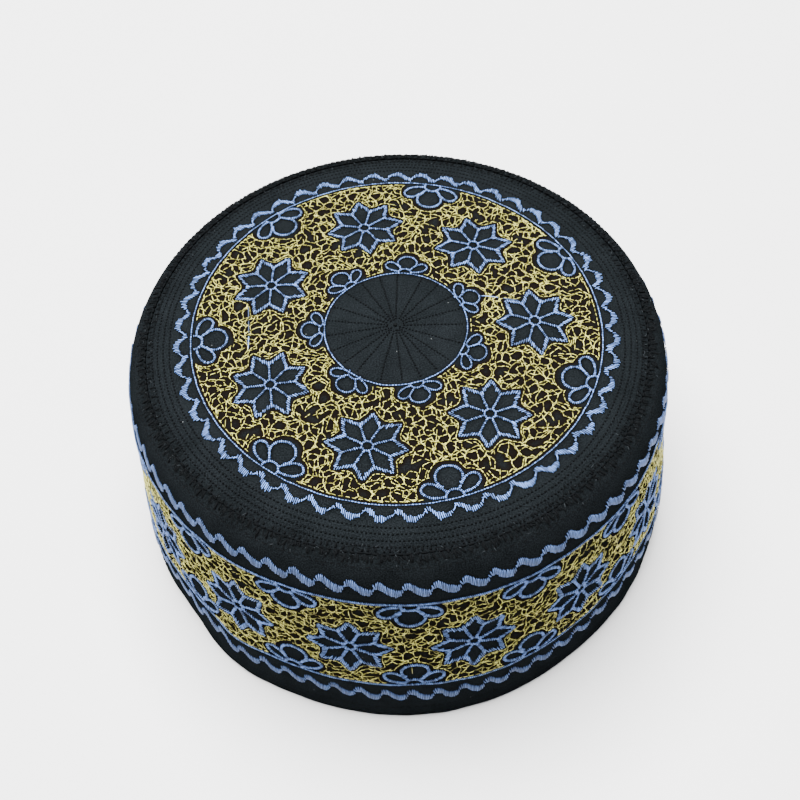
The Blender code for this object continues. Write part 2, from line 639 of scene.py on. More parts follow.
class Motifs:
    """The motifs of one chart, with the bare margin that the netting leaves round each.

    In the inner corners of a star the margin is CORNER_SHARE times as wide.
    """

    MARGIN = 1.5
    CORNER_SHARE = 1.5

    def __init__(self):
        self.stars = []
        self.flowers = []

    def star_edge(self, size, margin):
        """Outline of the bare margin round a star, in its own chart."""
        points = []
        for k in range(16):
            reach = STAR_TIP if k % 2 == 0 else STAR_CORNER
            bare = margin if k % 2 == 0 else margin * self.CORNER_SHARE
            turn = TURN * k / 16
            point = polar(1.0, turn) * size * reach / (2 * STAR_TIP)
            points.append(point * (1 + bare / np.linalg.norm(point)))
        return np.array(points)

    def star_clear(self, points, at, turn, size, margin):
        local = placed(np.asarray(points) - at, (0.0, 0.0), -turn)
        edge = self.star_edge(size, margin)
        angle = np.arctan2(local[:, 1], local[:, 0]) % TURN
        edge_turn = np.arctan2(edge[:, 1], edge[:, 0]) % TURN
        reach = np.interp(angle, edge_turn, np.linalg.norm(edge, axis=1), period=TURN)
        return np.linalg.norm(local, axis=1) > reach

    def flower_rounds(self, size, margin):
        """Round parts of a flower with their margin: x, y and radius."""
        scale = np.array(size) / FLOWER_SIZE
        wide = math.sqrt(scale[0] * scale[1])
        return [(x * scale[0], y * scale[1], radius * wide + margin) for x, y, radius in FLOWER_ROUNDS]

    def flower_clear(self, points, at, turn, size, margin):
        local = placed(np.asarray(points) - at, (0.0, 0.0), -turn)
        free = np.ones(len(local), bool)
        for x, y, radius in self.flower_rounds(size, margin):
            free &= np.hypot(local[:, 0] - x, local[:, 1] - y) > radius
        return free

    def clear(self, points, margin):
        free = np.ones(len(points), bool)
        for at, turn, size in self.stars:
            near = np.hypot(*(points - at).T) < max(size) / 2 + margin + 1.0
            if near.any():
                free[near] &= self.star_clear(points[near], at, turn, size, margin)
        for at, turn, size in self.flowers:
            near = np.hypot(*(points - at).T) < max(size) + margin
            if near.any():
                free[near] &= self.flower_clear(points[near], at, turn, size, margin)
        return free

    def outlines(self, offset):
        """Lines that run once round each motif, a little outside its bare margin."""
        lines = []
        for at, turn, size in self.stars:
            edge = self.star_edge(size, self.MARGIN + offset)
            lines.append(placed(smooth_line(edge, closed=True), at, turn))
        for at, turn, size in self.flowers:
            for x, y, radius in self.flower_rounds(size, self.MARGIN + offset)[:PETALS]:
                lines.append(placed(arc(x, y, radius, 0.0, 360.0, 1.8), at, turn))
        return lines


# Height of a honeycomb's rows, as a share of the spacing of its cells
HONEYCOMB_ROW = 0.866


def honeycomb(low, high, spacing, jitter):
    """Threads along the sides of an uneven honeycomb that closes up in x."""
    width = high[0] - low[0]
    rows = int((high[1] - low[1]) / (spacing * HONEYCOMB_ROW)) + 3
    columns = int(round(width / spacing))
    iy, ix = np.meshgrid(np.arange(rows), np.arange(columns), indexing="ij")
    centres = np.stack([low[0] + (ix + 0.5 * (iy % 2)) * width / columns,
                        low[1] + (iy - 1) * spacing * HONEYCOMB_ROW], -1)
    centres += rng.normal(0.0, jitter, centres.shape)

    def cell(row, column):
        return centres[row, column % columns] + np.stack([column // columns * width, 0.0 * row], -1)

    row, column = iy[1:-1], ix[1:-1]
    odd = row % 2
    here = (cell(row, column) + cell(row, column + 1) + cell(row + 1, column + odd)) / 3
    left = (cell(row, column) + cell(row + 1, column + odd - 1) + cell(row + 1, column + odd)) / 3
    right = (cell(row, column + 1) + cell(row + 1, column + odd) + cell(row + 1, column + odd + 1)) / 3
    below = (cell(row, column) + cell(row, column + 1) + cell(row - 1, column + odd)) / 3
    starts = np.concatenate([here, here, here]).reshape(-1, 2)
    return starts, np.concatenate([left, right, below]).reshape(-1, 2)


# How often a cut is halved to find its place, and the shortest thread that stays
CUT_HALVINGS = 6
SHORTEST_THREAD = 0.6


def cut_back(starts, ends, free):
    """Threads cut to the free part of the cloth, without those that are left too short."""
    turned = ~free(starts)[:, None]
    starts, ends = np.where(turned, ends, starts), np.where(turned, starts, ends)
    usable = free(starts)
    starts, ends = starts[usable], ends[usable]
    low, high = np.zeros(len(starts)), np.ones(len(starts))
    for _ in range(CUT_HALVINGS):
        share = (low + high) / 2
        reached = free(starts + (ends - starts) * share[:, None])
        low, high = np.where(reached, share, low), np.where(reached, high, share)
    ends = starts + (ends - starts) * high[:, None]
    long = np.linalg.norm(ends - starts, axis=1) > SHORTEST_THREAD
    return starts[long], ends[long]


def longer(starts, ends, most):
    """Threads that run on past both ends, by up to a share of their length."""
    over = (ends - starts) * rng.uniform(0.0, most, (len(starts), 1))
    return starts - over, ends + over


# The nets of gold thread: spacing of the holes, share of the threads that stay, and seed of the patches
NETS = ((3.9, 0.80, 21), (4.7, 0.70, 22), (5.5, 0.60, 23))

# How uneven the nets are: how far the holes lie off their places, as a share of the spacing, how far the
# threads are bent, the strength and length of the thicker patches, and the levels that the threads reach
NET_JITTER = 0.36
NET_BEND = 0.18
NET_PATCHES = 0.5
NET_PATCH_LENGTH = 15.0
NET_LEVELS = (0.06, 0.34)
NET_LIFT = 0.06

# The runs along each motif's margin: how far outside it, and the share that stays
MARGIN_RUNS = ((0.1, 0.95), (0.7, 0.2))


def netting(stitches, motifs, low, high, inside, size=1.0):
    """Uneven nets of short threads laid over each other between the motifs, and runs along the margins.

    Each net is thicker in some patches and thinner in others.
    """

    def free(points):
        return inside(points) & motifs.clear(points, motifs.MARGIN)

    starts = np.zeros((0, 2))
    ends = np.zeros((0, 2))
    for spacing, share, seed in NETS:
        more_starts, more_ends = honeycomb(low, high, spacing * size, NET_JITTER * spacing)
        patches = NET_PATCHES * ripples(more_starts, NET_PATCH_LENGTH, 0.0, seed)
        keep = rng.uniform(0.0, 1.0, len(more_starts)) < share + patches
        starts = np.concatenate([starts, more_starts[keep]])
        ends = np.concatenate([ends, more_ends[keep]])
    starts, ends = longer(starts, ends, most=0.2)
    middle = (starts + ends) / 2 + rng.normal(0.0, NET_BEND, starts.shape)
    starts, ends = np.concatenate([starts, middle]), np.concatenate([middle, ends])
    starts, ends = cut_back(starts, ends, free)
    for offset, share in MARGIN_RUNS:
        for line in motifs.outlines(offset):
            line = linear_steps(line, step=1.5)
            line = line + rng.normal(0.0, 0.12, line.shape)
            keep = rng.uniform(0.0, 1.0, len(line) - 1) < share
            for points in (line[:-1], line[1:]):
                keep &= inside(points) & motifs.clear(points, motifs.MARGIN - 0.9)
            starts = np.concatenate([starts, line[:-1][keep]])
            ends = np.concatenate([ends, line[1:][keep]])
    starts, ends = longer(starts, ends, most=0.14)
    levels = np.round(rng.uniform(*NET_LEVELS, len(starts)), 1)
    for level in np.unique(levels):
        layer = levels == level
        stitches.add(starts[layer], ends[layer], NET_THREAD, level + NET_LIFT)


def border_run(gold, motifs, line):
    """A run of gold thread beside a border, broken off at the motifs."""
    line = line + rng.normal(0.0, 0.1, line.shape)
    keep = motifs.clear((line[:-1] + line[1:]) / 2, margin=1.2)
    gold.add(line[:-1][keep], line[1:][keep], NET_THREAD, lift=0.2)


def fuzz(dark, places):
    """Short fibres and ends of thread that lie every way, one in nine of them pale."""
    turn = rng.uniform(0.0, TURN, len(places))
    half = polar(rng.uniform(0.35, 0.9, len(places)), turn)
    starts, ends = places - half, places + half
    pale = len(places) // 9
    dark.add(starts[:pale], ends[:pale], width=0.20, lift=0.12, shades=(0.4, 1.0))
    dark.add(starts[pale:], ends[pale:], width=0.24, lift=0.05, shades=(0.0, 0.15))


# The crown's pattern: for each motif the azimuth in degrees, the distance from the middle, and which
# way it was turned
INNER_LINE = 23.2
INNER_CENTRE = (0.15, -0.6)
OUTER_LINE = 66.8
CROWN_NET_INSET = 0.9
CROWN_STARS = (
    (358.7, 45.2, 2.5), (50.3, 43.8, 49.1), (100.9, 46.1, 98.4), (153.0, 45.5, 154.3),
    (207.2, 45.4, 205.7), (256.9, 46.8, 260.7), (307.3, 45.6, 309.3),
)
CROWN_STAR_SIZE = (24.6, 25.6)
OUTER_FLOWERS = (
    (25.9, 65.9, 28.7), (75.9, 65.8, 76.0), (127.6, 67.4, 131.3), (180.9, 65.6, 184.1),
    (231.9, 65.6, 230.3), (282.9, 66.8, 283.6), (336.7, 66.9, 339.3),
)
OUTER_FLOWER_SIZE = (19.3, 11.4)
INNER_FLOWERS = (
    (22.7, 22.5, 22.5), (79.6, 22.7, 77.9), (127.6, 22.7, 132.3), (179.7, 22.9, 177.3),
    (234.1, 23.1, 230.1), (283.7, 24.0, 284.3), (332.3, 23.7, 338.0),
)
INNER_FLOWER_SIZE = (14.6, 8.0)
QUILT_ROWS = (73.9, 75.9, 77.9, 79.7)
RADIAL_ROWS = (
    -2.2, 14.5, 30.8, 48.0, 63.5, 85.6, 101.3, 118.2, 135.4, 154.3, 170.2,
    186.1, 203.5, 219.8, 234.1, 255.1, 273.1, 288.5, 303.8, 317.8, 337.6,
)

# Blue threads carried over from one motif to the next, and the knot in the middle of the crown
JUMP_THREADS = (
    ((-48.0, 13.0), (-47.5, -6.0)),
    ((28.5, 10.5), (41.5, 7.5)),
)
KNOT_STARTS = ((-0.7, 0.1), (0.5, 0.5), (0.3, -0.7))
KNOT_ENDS = ((0.7, 0.0), (-0.5, -0.4), (-0.3, 0.7))


def crown_embroidery(blue, gold, dark):
    motifs = Motifs()
    for azimuth, radius, turn in CROWN_STARS:
        at = polar(radius, math.radians(azimuth))
        turn = math.radians(turn)
        star(blue, at, turn, CROWN_STAR_SIZE,
             width=1.15, spoke_width=0.66, slant=45.0, pitch=0.82, thread=0.36)
        motifs.stars.append((at, turn, CROWN_STAR_SIZE))
    for flowers, facing, size, width in (
            (OUTER_FLOWERS, 90.0, OUTER_FLOWER_SIZE, 0.82),
            (INNER_FLOWERS, -90.0, INNER_FLOWER_SIZE, 0.52)):
        for azimuth, radius, turn in flowers:
            at = polar(radius, math.radians(azimuth))
            turn = math.radians(turn + facing)
            half_flower(blue, at, turn, size, width)
            motifs.flowers.append((at, turn, size))
    for line in (ring(INNER_LINE, INNER_CENTRE, 0.0), ring(OUTER_LINE)):
        running(blue, line, length=1.0, gap=0.08, thread=0.38, lift=0.2, jitter=0.05)
    scallops(blue, CROWN_SCALLOP, CROWN_SCALLOPS, TURN * SCALLOP_RADIUS, crown_ring,
             pitch=0.60, thread=0.32, ragged=0.22, shades=(0.15, 1.0))

    def inside(points):
        inner = np.hypot(*(points - INNER_CENTRE).T)
        outer = np.hypot(points[:, 0], points[:, 1]) - oval(np.arctan2(points[:, 1], points[:, 0]))
        return (inner > INNER_LINE + CROWN_NET_INSET) & (outer < OUTER_LINE - CROWN_NET_INSET)

    netting(gold, motifs, (-68.0, -68.0), (68.0, 68.0), inside)
    for line in (ring(INNER_LINE + 1.2, INNER_CENTRE, 0.0), ring(OUTER_LINE - 1.2)):
        border_run(gold, motifs, linear_steps(line, 2.0))
    for radius in QUILT_ROWS:
        running(dark, ring(radius), length=1.3, gap=0.55, thread=0.56, lift=0.08)
    for azimuth in RADIAL_ROWS:
        row = polar(np.array([rng.uniform(1.0, 2.6), INNER_LINE - 0.9]), math.radians(azimuth))
        running(dark, row, length=1.1, gap=0.45, thread=0.60, lift=0.1, jitter=0.07)
    dark.add(KNOT_STARTS, KNOT_ENDS, width=0.9, lift=0.2, shades=(0.0, 0.1))
    for jump in JUMP_THREADS:
        running(blue, jump, length=7.0, gap=0.3, thread=0.30, lift=0.35, jitter=0.2)
    crown_seam(dark)


def crown_seam(dark):
    """Whipped stitches and stray fibres along the crown's edge."""
    azimuth = np.arange(0.0, TURN, 2.3 / SEAM_RADIUS)
    azimuth = azimuth + rng.normal(0.0, 0.006, len(azimuth))
    reach = rng.uniform(0.7, 2.1, len(azimuth))
    edge = SEAM_RADIUS - 0.3
    starts, ends = polar(edge, azimuth), polar(edge - reach, azimuth)
    dark.add(starts, ends, width=0.60, lift=0.12, shades=(0.0, 0.03))
    azimuth = rng.uniform(0.0, TURN, 900)
    fuzz(dark, polar(SEAM_RADIUS - np.abs(rng.normal(0.0, 1.4, 900)), azimuth))


# The band's pattern: levels of its borders in the chart, and sizes
UPPER_LINE = 73.1
LOWER_LINE = 24.7
STAR_LEVEL = 46.6
STARS_ASKEW = 0.9
BAND_STAR_SIZE = (27.0, 28.4)
HANGING_SIZE = (20.6, 12.1)
STANDING_SIZE = (19.9, 12.7)
HEM_ROWS = (7.6, 2.6)
BAND_NET_INSET = 0.8

# The band's scallops: outline, how many, level in the chart, the border that they follow, and the turn
# in radians by which they are shifted
BAND_SCALLOPS = (
    (UPPER_SCALLOP, 66, 79.4, UPPER_RISE, -0.0185),
    (LOWER_SCALLOP, 70, 16.9, LOWER_RISE, -0.0230),
)

# A loose gold thread at the front of the band
GOLD_JUMP = ((-0.8, 31.0), (-0.9, 36.6))


def round_again(at, turn, size):
    """A motif of the band, and its twin past the chart's end where it reaches over that end."""
    places = [at + (shift, 0.0) for shift in (-BAND_LENGTH, 0.0, BAND_LENGTH)]
    return [(place, turn, size) for place in places if abs(place[0]) < BAND_LENGTH / 2 + 20.0]


def round_line(y):
    """A straight line once round the band's chart."""
    return [(-BAND_LENGTH / 2, y), (BAND_LENGTH / 2, y)]


def band_embroidery(blue, gold, dark):
    motifs = Motifs()
    for k in range(BAND_REPEATS):
        turn = TURN * k / BAND_REPEATS - math.pi + math.pi / BAND_REPEATS
        beside = turn + math.pi / BAND_REPEATS
        star_at = np.array([band_x(beside), STAR_LEVEL - STARS_ASKEW * math.sin(beside)])
        star(blue, star_at, 0.0, BAND_STAR_SIZE,
             width=1.6, spoke_width=1.15, slant=46.0, pitch=0.90, thread=0.36)
        motifs.stars += round_again(star_at, 0.0, BAND_STAR_SIZE)
        x = band_x(turn)
        for level, rises, upright, lift, size in (
                (UPPER_LINE, UPPER_RISE, math.pi, -0.4, HANGING_SIZE),
                (LOWER_LINE, LOWER_RISE, 0.0, 0.3, STANDING_SIZE)):
            left, here, right = border_y(level, rises, np.array([x - 6.0, x, x + 6.0]))
            at = np.array([x, here + lift])
            lean = upright + math.atan2(right - left, 12.0)
            half_flower(blue, at, lean, size, width=1.15, slant=8.0, pitch=0.62)
            motifs.flowers += round_again(at, lean, size)
    round_it = np.linspace(-BAND_LENGTH / 2, BAND_LENGTH / 2, 600)
    for level, rises in ((UPPER_LINE, UPPER_RISE), (LOWER_LINE, LOWER_RISE)):
        line = np.stack([round_it, border_y(level, rises, round_it)], 1)
        satin(blue, line, width=0.75, pitch=0.62, slant=28.0)
    for shape, count, level, rises, start in BAND_SCALLOPS:
        place = band_ring(level, rises, start)
        # The band's scallops keep to dark tones: in part their own tone, in part painted shade for the wall
        scallops(blue, shape, count, BAND_LENGTH, place,
                 pitch=0.54, thread=0.42, ragged=0.12, shades=(0.0, 0.3))
    gold.add(*GOLD_JUMP, width=0.2, lift=0.2, shades=(0.1, 0.3))

    def inside(points):
        low = border_y(LOWER_LINE, LOWER_RISE, points[:, 0]) + BAND_NET_INSET
        high = border_y(UPPER_LINE, UPPER_RISE, points[:, 0]) - BAND_NET_INSET
        across = np.abs(points[:, 0]) < BAND_LENGTH / 2
        return across & (points[:, 1] > low) & (points[:, 1] < high)

    low, high = (-BAND_LENGTH / 2, LOWER_LINE - 2.0), (BAND_LENGTH / 2, UPPER_LINE + 2.0)
    netting(gold, motifs, low, high, inside, size=1.05)
    for level, rises in ((LOWER_LINE + 1.1, LOWER_RISE), (UPPER_LINE - 1.1, UPPER_RISE)):
        line = linear_steps(round_line(0.0), 2.0)
        line[:, 1] = border_y(level, rises, line[:, 0])
        border_run(gold, motifs, line)
    for height in HEM_ROWS:
        running(dark, round_line(height), length=2.6, gap=0.8, thread=0.30, lift=0.0)
    band_seam(dark)


def band_seam(dark):
    """Whipped stitches and stray fibres over the gathered edge of the band."""

    def whip(x, high, reach, lean, thread, lift, shades):
        dark.add(np.stack([x, high], 1), np.stack([x + lean, high - reach], 1), thread, lift, shades)

    count = 800
    x = rng.uniform(-BAND_LENGTH / 2, BAND_LENGTH / 2, count)
    high = BAND_TOP - np.abs(rng.normal(0.0, 0.9, count))
    reach = rng.uniform(0.8, 2.4, count)
    whip(x, high, reach, rng.normal(0.3, 0.9, count), thread=0.40, lift=0.10, shades=(0.0, 0.12))
    x = np.arange(-BAND_LENGTH / 2, BAND_LENGTH / 2, 2.4)
    count = len(x)
    x = x + rng.normal(0.0, 0.4, count)
    high = BAND_TOP - rng.uniform(0.1, 0.6, count)
    reach = rng.uniform(1.2, 3.4, count)
    whip(x, high, reach, rng.normal(0.3, 0.5, count), thread=0.75, lift=0.20, shades=(0.0, 0.03))
    running(dark, round_line(BAND_TOP),
            length=2.6, gap=0.5, thread=0.75, lift=0.10, jitter=0.18, shades=(0.0, 0.03))
    running(dark, round_line(BAND_TOP - 4.3),
            length=2.3, gap=1.0, thread=0.36, lift=0.04, jitter=0.25, shades=(0.0, 0.05))
    x = rng.uniform(-BAND_LENGTH / 2, BAND_LENGTH / 2, 1300)
    fuzz(dark, np.stack([x, BAND_TOP - np.abs(rng.normal(0.6, 1.9, 1300))], 1))


def new_mesh(name, points, faces, material, chart, tones):
    """A mesh object in metres. The chart gives each point a place on the flat cloth or thread."""
    mesh = bpy.data.meshes.new(name)
    mesh.vertices.add(len(points))
    mesh.vertices.foreach_set("co", (points * MM).astype(np.float32).ravel())
    counts = np.concatenate([np.full(len(part), part.shape[1]) for part in faces])
    corners = np.concatenate([part.ravel() for part in faces])
    mesh.loops.add(len(corners))
    mesh.loops.foreach_set("vertex_index", corners.astype(np.int32))
    mesh.polygons.add(len(counts))
    mesh.polygons.foreach_set("loop_start", np.concatenate([[0], np.cumsum(counts)[:-1]]).astype(np.int32))
    mesh.update(calc_edges=True)
    flat = mesh.attributes.new("chart", "FLOAT_VECTOR", "POINT")
    flat.data.foreach_set("vector", chart.astype(np.float32).ravel())
    for tone, values in tones.items():
        mesh.attributes.new(tone, "FLOAT", "POINT").data.foreach_set("value", values.astype(np.float32))
    mesh.shade_smooth()
    mesh.materials.append(material)
    mesh.validate()
    piece = bpy.data.objects.new(name, mesh)
    bpy.context.scene.collection.objects.link(piece)
    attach(piece, "root")
    return piece


# Each stitch's spindle: its sides, its height as a share of its width, and how deep its tips dive
THREAD_SIDES = 4
THREAD_FLATNESS = 0.9
TIP_DEPTH = 0.12


def stitch_mesh(name, stitches, material):
    """Every stitch as a closed spindle that follows the cloth and dives into it at both ends."""
    rows = stitches.all()
    starts, ends, width, lift, shade = rows[:, 0:2], rows[:, 2:4], rows[:, 4], rows[:, 5], rows[:, 6]
    cloth = stitches.cloth
    count = len(rows)
    middle = (starts + ends) / 2
    normal = cloth.normals(middle)
    reach = np.linalg.norm(ends - starts, axis=1)
    tip_a = cloth.points(starts, -TIP_DEPTH)
    tip_b = cloth.points(ends, -TIP_DEPTH)
    along = unit(tip_b - tip_a)
    aside = unit(np.cross(normal, along))
    points = [tip_a]
    flat = np.zeros(count)
    chart = [np.stack([flat, flat], 1)]
    for share in (stitches.swell, 1.0 - stitches.swell):
        centre = cloth.points(starts + (ends - starts) * share) + normal * lift[:, None]
        for side in range(THREAD_SIDES):
            turn = TURN * side / THREAD_SIDES
            offset = aside * math.cos(turn) + normal * math.sin(turn) * THREAD_FLATNESS
            points.append(centre + offset * width[:, None] / 2)
            chart.append(np.stack([reach * share, flat + side / THREAD_SIDES], 1))
    points.append(tip_b)
    chart.append(np.stack([reach, flat], 1))
    per = len(points)
    verts = np.stack(points, 1).reshape(-1, 3)
    chart = np.pad(np.stack(chart, 1).reshape(-1, 2), ((0, 0), (0, 1)))
    fans = []
    walls = []
    for side in range(THREAD_SIDES):
        near, beside = 1 + side, 1 + (side + 1) % THREAD_SIDES
        fans.append((0, beside, near))
        fans.append((per - 1, near + THREAD_SIDES, beside + THREAD_SIDES))
        walls.append((near, beside, beside + THREAD_SIDES, near + THREAD_SIDES))
    base = (np.arange(count) * per)[:, None, None]
    faces = [(np.array(part)[None] + base).reshape(-1, len(part[0])) for part in (fans, walls)]
    tones = np.repeat(shade[:, None], per, 1)
    # The tips are painted darker, as shade where the stitch dives into the cloth
    tones[:, [0, -1]] *= stitches.tips
    return new_mesh(name, verts, faces, material, chart, {"shade": tones.ravel()})


def ring_faces(rings, columns, closed):
    """Quads between neighbouring rings of points, each ring being closed round the cap."""
    ring = np.arange(rings if closed else rings - 1)[:, None]
    column = np.arange(columns)[None, :]
    beside = (column + 1) % columns
    below = (ring + 1) % rings
    return np.stack([ring * columns + column, below * columns + column,
                     below * columns + beside, ring * columns + beside], -1).reshape(-1, 4)


CROWN_COLUMNS = 480
BAND_COLUMNS = 760
EDGE = 0.3


def cloth_mesh(name, cloth, rings, faces, material):
    """A cloth's mesh from rings of chart points, each with its depth in the cloth."""
    flat = np.concatenate([ring for ring, _ in rings])
    depth = np.concatenate([np.full(len(ring), down) for ring, down in rings])
    # Painted shade round the stitches, and the painted warm shadow between the threads of the gold nets
    tones = {"shade": cloth.shade(flat), "gold_shadow": cloth.gold_shadow.at(flat)}
    return new_mesh(name, cloth.points(flat, -depth), faces, material, np.column_stack([flat, depth]), tones)


def crown_piece(material):
    """The quilted crown: a fine upper face, a rounded cut edge and a plain underside."""
    rim = SEAM_RADIUS + 0.2
    fine = [np.arange(1.0, 21.0, 1.0), np.arange(21.0, 72.0, 0.95), np.arange(72.0, rim - 0.5, 0.4)]
    upper = [(radius, 0.0) for radius in np.concatenate(fine)]
    edge = [(rim - EDGE, 0.0), (rim - 0.1, 0.1), (rim, EDGE), (rim, CLOTH_THICKNESS - EDGE),
            (rim - EDGE, CLOTH_THICKNESS)]
    under = [(radius, CLOTH_THICKNESS) for radius in np.arange(76.0, 1.0, -5.0)]
    turn = TURN * np.arange(CROWN_COLUMNS) / CROWN_COLUMNS
    rings = [(polar(radius, turn), down) for radius, down in upper + edge + under]
    count = len(rings)
    middle = np.zeros((1, 2))
    rings += [(middle, 0.0), (middle, CLOTH_THICKNESS)]
    column = np.arange(CROWN_COLUMNS)
    beside = (column + 1) % CROWN_COLUMNS
    last = (count - 1) * CROWN_COLUMNS
    centre = np.full(CROWN_COLUMNS, count * CROWN_COLUMNS)
    fans = np.concatenate([np.stack([centre, column, beside], 1),
                           np.stack([centre + 1, last + beside, last + column], 1)])
    faces = [fans, ring_faces(count, CROWN_COLUMNS, False)]
    return cloth_mesh("crown_quilting", crown_cloth, rings, faces, material)


def band_piece(material):
    """The band: a fine outer face, a folded rim and a plain inner face, with a cut edge at the seam."""
    top = BAND_TOP
    shoulder = np.arange(top - 0.5, top - 9.0, -0.4)
    wall = np.arange(top - 9.0, 11.0, -1.3)
    hem = np.arange(11.0, 1.0, -0.6)
    inner = [np.arange(2.0, 84.0, 6.0), np.arange(86.0, top, 1.5)]
    rows = [(top, CLOTH_THICKNESS - EDGE), (top, EDGE), (top - 0.1, 0.1)]
    rows += [(y, 0.0) for y in np.concatenate([shoulder, wall, hem])]
    rows += [(0.35, 0.2), (0.0, 0.7), (0.0, CLOTH_THICKNESS - 0.7), (0.35, CLOTH_THICKNESS - 0.2)]
    rows += [(y, CLOTH_THICKNESS) for y in np.concatenate(inner)]
    x = BAND_LENGTH * (np.arange(BAND_COLUMNS) / BAND_COLUMNS - 0.5)
    rings = [(np.stack([x, np.full(BAND_COLUMNS, y)], 1), depth) for y, depth in rows]
    faces = [ring_faces(len(rings), BAND_COLUMNS, True)]
    return cloth_mesh("band_cloth", band_cloth, rings, faces, material)


def new_material(name, colour, roughness):
    material = bpy.data.materials.new(name)
    material.use_nodes = True
    shader = material.node_tree.nodes["Principled BSDF"]
    shader.inputs["Base Color"].default_value = (*colour, 1.0)
    shader.inputs["Roughness"].default_value = roughness
    return material, material.node_tree, shader


def middle_colour(one, two):
    return tuple((a + b) / 2 for a, b in zip(one, two))


def node(tree, kind, **values):
    """A node with its plain properties, and its numbered or named inputs from a dict."""
    made = tree.nodes.new(kind)
    inputs = values.pop("inputs", {})
    for name, value in values.items():
        setattr(made, name, value)
    for name, value in inputs.items():
        if isinstance(value, bpy.types.NodeSocket):
            tree.links.new(value, made.inputs[name])
        else:
            made.inputs[name].default_value = value
    return made


def math_node(tree, operation, first, second=0.0):
    return node(tree, "ShaderNodeMath", operation=operation, inputs={0: first, 1: second}).outputs[0]


def painted(tree, name, output="Fac"):
    """The chart or a tone that the mesh carries."""
    return node(tree, "ShaderNodeAttribute", attribute_name=name).outputs[output]


def mapped(tree, value, low, high, least, most):
    return node(tree, "ShaderNodeMapRange", inputs={
        "Value": value, "From Min": low, "From Max": high, "To Min": least, "To Max": most}).outputs[0]


def mixed(tree, share, one, two):
    """A colour between two others, by its share of the second."""
    return node(tree, "ShaderNodeMix", data_type="RGBA", inputs={0: share, 6: one, 7: two}).outputs[2]


def cloth_material(name, dark, worn):
    """Close plain weave: fine yarns both ways, cloudy wear, a few light fibres, and painted shade by
    threads.
    """
    material, tree, shader = new_material(name, middle_colour(dark, worn), 0.95)
    chart = painted(tree, "chart", "Vector")
    axes = node(tree, "ShaderNodeSeparateXYZ", inputs={0: chart})
    yarns = []
    for axis in ("X", "Y"):
        swing = math_node(tree, "SINE", math_node(tree, "MULTIPLY", axes.outputs[axis], TURN / 0.62))
        yarns.append(math_node(tree, "ABSOLUTE", swing))
    weave = math_node(tree, "MULTIPLY", *yarns)
    cloud = node(tree, "ShaderNodeTexNoise", inputs={
        "Vector": chart, "Scale": 0.09, "Detail": 5.0, "Roughness": 0.6}).outputs["Fac"]
    fibres = node(tree, "ShaderNodeTexNoise", inputs={
        "Vector": chart, "Scale": 2.2, "Detail": 2.0}).outputs["Fac"]
    wear = mapped(tree, cloud, 0.35, 0.7, 0.0, 0.25)
    fuzzy = mapped(tree, fibres, 0.36, 0.66, 0.0, 0.75)
    # Painted shade: the cloth is darker round the stitches, where they press it down
    unshaded = mapped(tree, painted(tree, "shade"), 0.0, 0.12, 1.0, 0.2)
    share = math_node(tree, "MULTIPLY", math_node(tree, "ADD", wear, fuzzy), unshaded)
    colour = mixed(tree, share, (*dark, 1.0), (*worn, 1.0))
    # Painted warm shadow in the cloth between the threads of the gold nets
    near_gold = mapped(tree, painted(tree, "gold_shadow"), 0.0, 0.10, 0.0, 0.85)
    colour = mixed(tree, near_gold, colour, (*NET_SHADOW, 1.0))
    dots = node(tree, "ShaderNodeTexVoronoi", inputs={"Vector": chart, "Scale": 0.62})
    small = math_node(tree, "LESS_THAN", dots.outputs["Distance"], 0.10)
    seldom = node(tree, "ShaderNodeSeparateColor", inputs={0: dots.outputs["Color"]}).outputs[0]
    fleck = math_node(tree, "MULTIPLY", small, math_node(tree, "GREATER_THAN", seldom, 0.99))
    tree.links.new(mixed(tree, fleck, colour, (*LINT, 1.0)), shader.inputs["Base Color"])
    height = math_node(tree, "ADD", math_node(tree, "MULTIPLY", weave, 0.5), fibres)
    bump = node(tree, "ShaderNodeBump", inputs={"Strength": 0.8, "Distance": 0.0003, "Height": height})
    tree.links.new(bump.outputs[0], shader.inputs["Normal"])
    shader.inputs["Specular IOR Level"].default_value = 0.0
    return material


def thread_material(name, colour, pale, roughness, gloss):
    """Twisted thread: each stitch has its own tone, and fine plies run round it with painted light and
    shade.
    """
    material, tree, shader = new_material(name, middle_colour(colour, pale), roughness)
    axes = node(tree, "ShaderNodeSeparateXYZ", inputs={0: painted(tree, "chart", "Vector")})
    twist = math_node(tree, "ADD", math_node(tree, "MULTIPLY", axes.outputs["X"], 2.4), axes.outputs["Y"])
    plies = math_node(tree, "SINE", math_node(tree, "MULTIPLY", twist, TURN))
    # The plies' crests are painted paler and their grooves darker: painted light and shade along the twist
    share = math_node(tree, "ADD", painted(tree, "shade"), math_node(tree, "MULTIPLY", plies, 0.1))
    tree.links.new(mixed(tree, share, (*colour, 1.0), (*pale, 1.0)), shader.inputs["Base Color"])
    bump = node(tree, "ShaderNodeBump", inputs={"Strength": 0.4, "Distance": 0.00004, "Height": plies})
    tree.links.new(bump.outputs[0], shader.inputs["Normal"])
    shader.inputs["Specular IOR Level"].default_value = gloss
    return material


